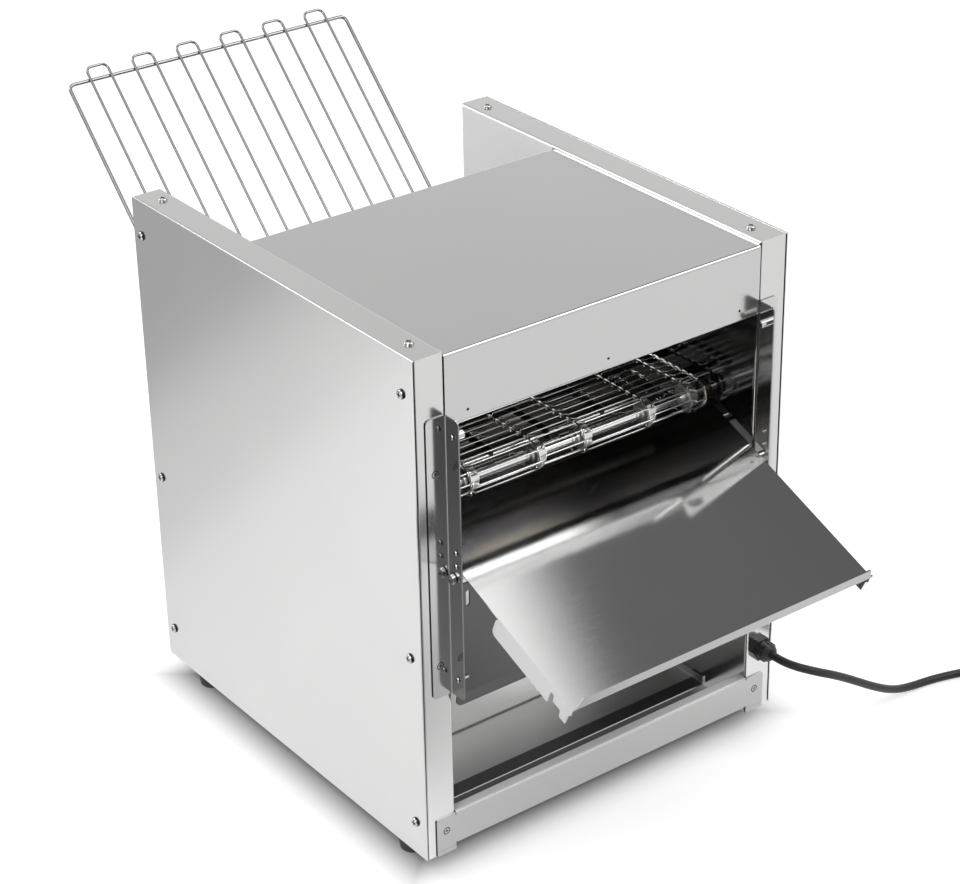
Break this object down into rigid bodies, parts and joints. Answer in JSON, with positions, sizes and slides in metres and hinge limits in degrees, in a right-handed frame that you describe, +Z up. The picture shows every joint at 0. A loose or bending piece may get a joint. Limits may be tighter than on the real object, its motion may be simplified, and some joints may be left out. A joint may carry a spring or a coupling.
{
  "type": "conveyor toaster",
  "caption": "Countertop conveyor toaster with folded steel side columns, wire belt, wire infeed rack and sloping discharge tray.",
  "frame": {"origin": "on the surface the feet stand on, under the middle of the object's box without its cord", "axes": "+X across the machine to the side with the controls, +Y from the discharge tray to the infeed rack, +Z up"},
  "size_m": [0.7934, 0.9671, 0.6403],
  "materials": {
    "brushed_sheet": "bright stainless sheet with a fine grain",
    "polished_sheet": "mirror-like stainless sheet",
    "bright_screws": "bright plated",
    "bright_bar": "ground bar",
    "belt_wire": "bright drawn stainless wire",
    "rack_wire": "bright plated wire",
    "cast_steel": "light satin casting",
    "dark_steel": "oiled dark steel",
    "heater_sheath": "oxidised sheath, matte",
    "bronze": "sintered, satin",
    "ceramic": "glazed off-white",
    "motor_paint": "satin black paint",
    "foot_rubber": "matte",
    "cord_rubber": "satin",
    "black_nylon": "satin",
    "switch_plastic": "glossy",
    "knob_plastic": "satin black",
    "lamp_lens": "clear amber lens"
  },
  "bodies": {
    "casing": {"left_side_frame": "brushed_sheet", "right_side_frame": "brushed_sheet", "left_side_panel": "brushed_sheet", "right_side_panel": "brushed_sheet", "panel_screws": "bright_screws", "column_top_screws": "bright_screws", "top_cover": "brushed_sheet", "left_bracket": "brushed_sheet", "right_bracket": "brushed_sheet", "bracket_screws": "bright_screws", "bracket_studs": "bright_screws", "tray_bolts": "bright_screws", "front_apron": "brushed_sheet", "compartment_cover": "brushed_sheet", "floor_plate": "brushed_sheet", "front_crossmember": "brushed_sheet", "crossmember_screws": "bright_screws", "rear_panel": "brushed_sheet", "rear_screws": "bright_screws", "rear_bar": "brushed_sheet", "upper_reflector": "polished_sheet", "upper_heaters": "heater_sheath", "lower_heaters": "heater_sheath", "heater_end_caps": "ceramic", "belt_rails": "brushed_sheet", "rail_rods": "bright_bar", "conveyor_belt": "belt_wire", "front_bearings": "bronze", "rear_bearings": "bronze", "gear_motor": "motor_paint", "motor_bracket": "brushed_sheet", "drive_chain": "dark_steel", "crumb_runners": "brushed_sheet", "tray_rod": "bright_bar", "rack_hooks": "brushed_sheet", "feet": "foot_rubber", "cable_gland": "black_nylon", "gland_locknut": "black_nylon", "power_cord": "cord_rubber", "cord_coil": "cord_rubber", "mains_plug": "cord_rubber", "switch_housing": "black_nylon", "regulators": "dark_steel", "pilot_lamp": "lamp_lens", "terminal_block": "ceramic", "safety_thermostat": "dark_steel"},
    "front_shaft": {"drive_shaft": "bright_bar", "drive_sprockets": "cast_steel", "chain_sprocket": "dark_steel"},
    "rear_shaft": {"idler_shaft": "bright_bar", "idler_rollers": "cast_steel"},
    "motor_output": {"motor_shaft": "bright_bar", "motor_sprocket": "dark_steel"},
    "tray": {"discharge_tray": "polished_sheet"},
    "crumb_drawer": {"crumb_tray": "brushed_sheet"},
    "rack": {"infeed_rack": "rack_wire"},
    "upper_heat_dial": {"upper_heat_knob": "knob_plastic"},
    "lower_heat_dial": {"lower_heat_knob": "knob_plastic"},
    "speed_dial": {"speed_knob": "knob_plastic"},
    "rocker": {"switch_rocker": "switch_plastic"}
  },
  "joints": [
    {"name": "drive_spin", "type": "hinge", "parent": "casing", "child": "front_shaft", "pos_m": [-0.0072, -0.18497, 0.384], "axis": [1, 0, 0], "continuous": true, "deforming": ["drive_chain"]},
    {"name": "idler_spin", "type": "hinge", "parent": "casing", "child": "rear_shaft", "pos_m": [-0.0072, 0.18303, 0.384], "axis": [1, 0, 0], "continuous": true},
    {"name": "motor_spin", "type": "hinge", "parent": "casing", "child": "motor_output", "pos_m": [-0.0072, -0.07183, 0.24918], "axis": [1, 0, 0], "continuous": true},
    {"name": "tray_tilt", "type": "hinge", "parent": "casing", "child": "tray", "pos_m": [-0.0072, -0.21736, 0.36589], "axis": [-1, 0, 0], "range_deg": [0, 40]},
    {"name": "crumb_slide", "type": "slide", "parent": "casing", "child": "crumb_drawer", "axis": [0, 1, 0], "range_m": [0, 0.3]},
    {"name": "rack_pull", "type": "slide", "parent": "casing", "child": "rack", "axis": [0, 0.7071, 0.7071], "range_m": [0, 0.15]},
    {"name": "upper_heat_turn", "type": "hinge", "parent": "casing", "child": "upper_heat_dial", "pos_m": [0.2228, 0.13903, 0.218], "axis": [-1, 0, 0], "range_deg": [0, 270]},
    {"name": "lower_heat_turn", "type": "hinge", "parent": "casing", "child": "lower_heat_dial", "pos_m": [0.2228, 0.13903, 0.166], "axis": [-1, 0, 0], "range_deg": [0, 270]},
    {"name": "speed_turn", "type": "hinge", "parent": "casing", "child": "speed_dial", "pos_m": [0.2228, 0.13903, 0.114], "axis": [-1, 0, 0], "range_deg": [0, 270]},
    {"name": "switch_rock", "type": "hinge", "parent": "casing", "child": "rocker", "pos_m": [0.2198, 0.13903, 0.274], "axis": [0, 1, 0], "range_deg": [0, 12]}
  ],
  "couplings": [
    {"joint": "idler_spin", "follows": "drive_spin", "ratio": 1},
    {"joint": "motor_spin", "follows": "drive_spin", "ratio": 1}
  ]
}
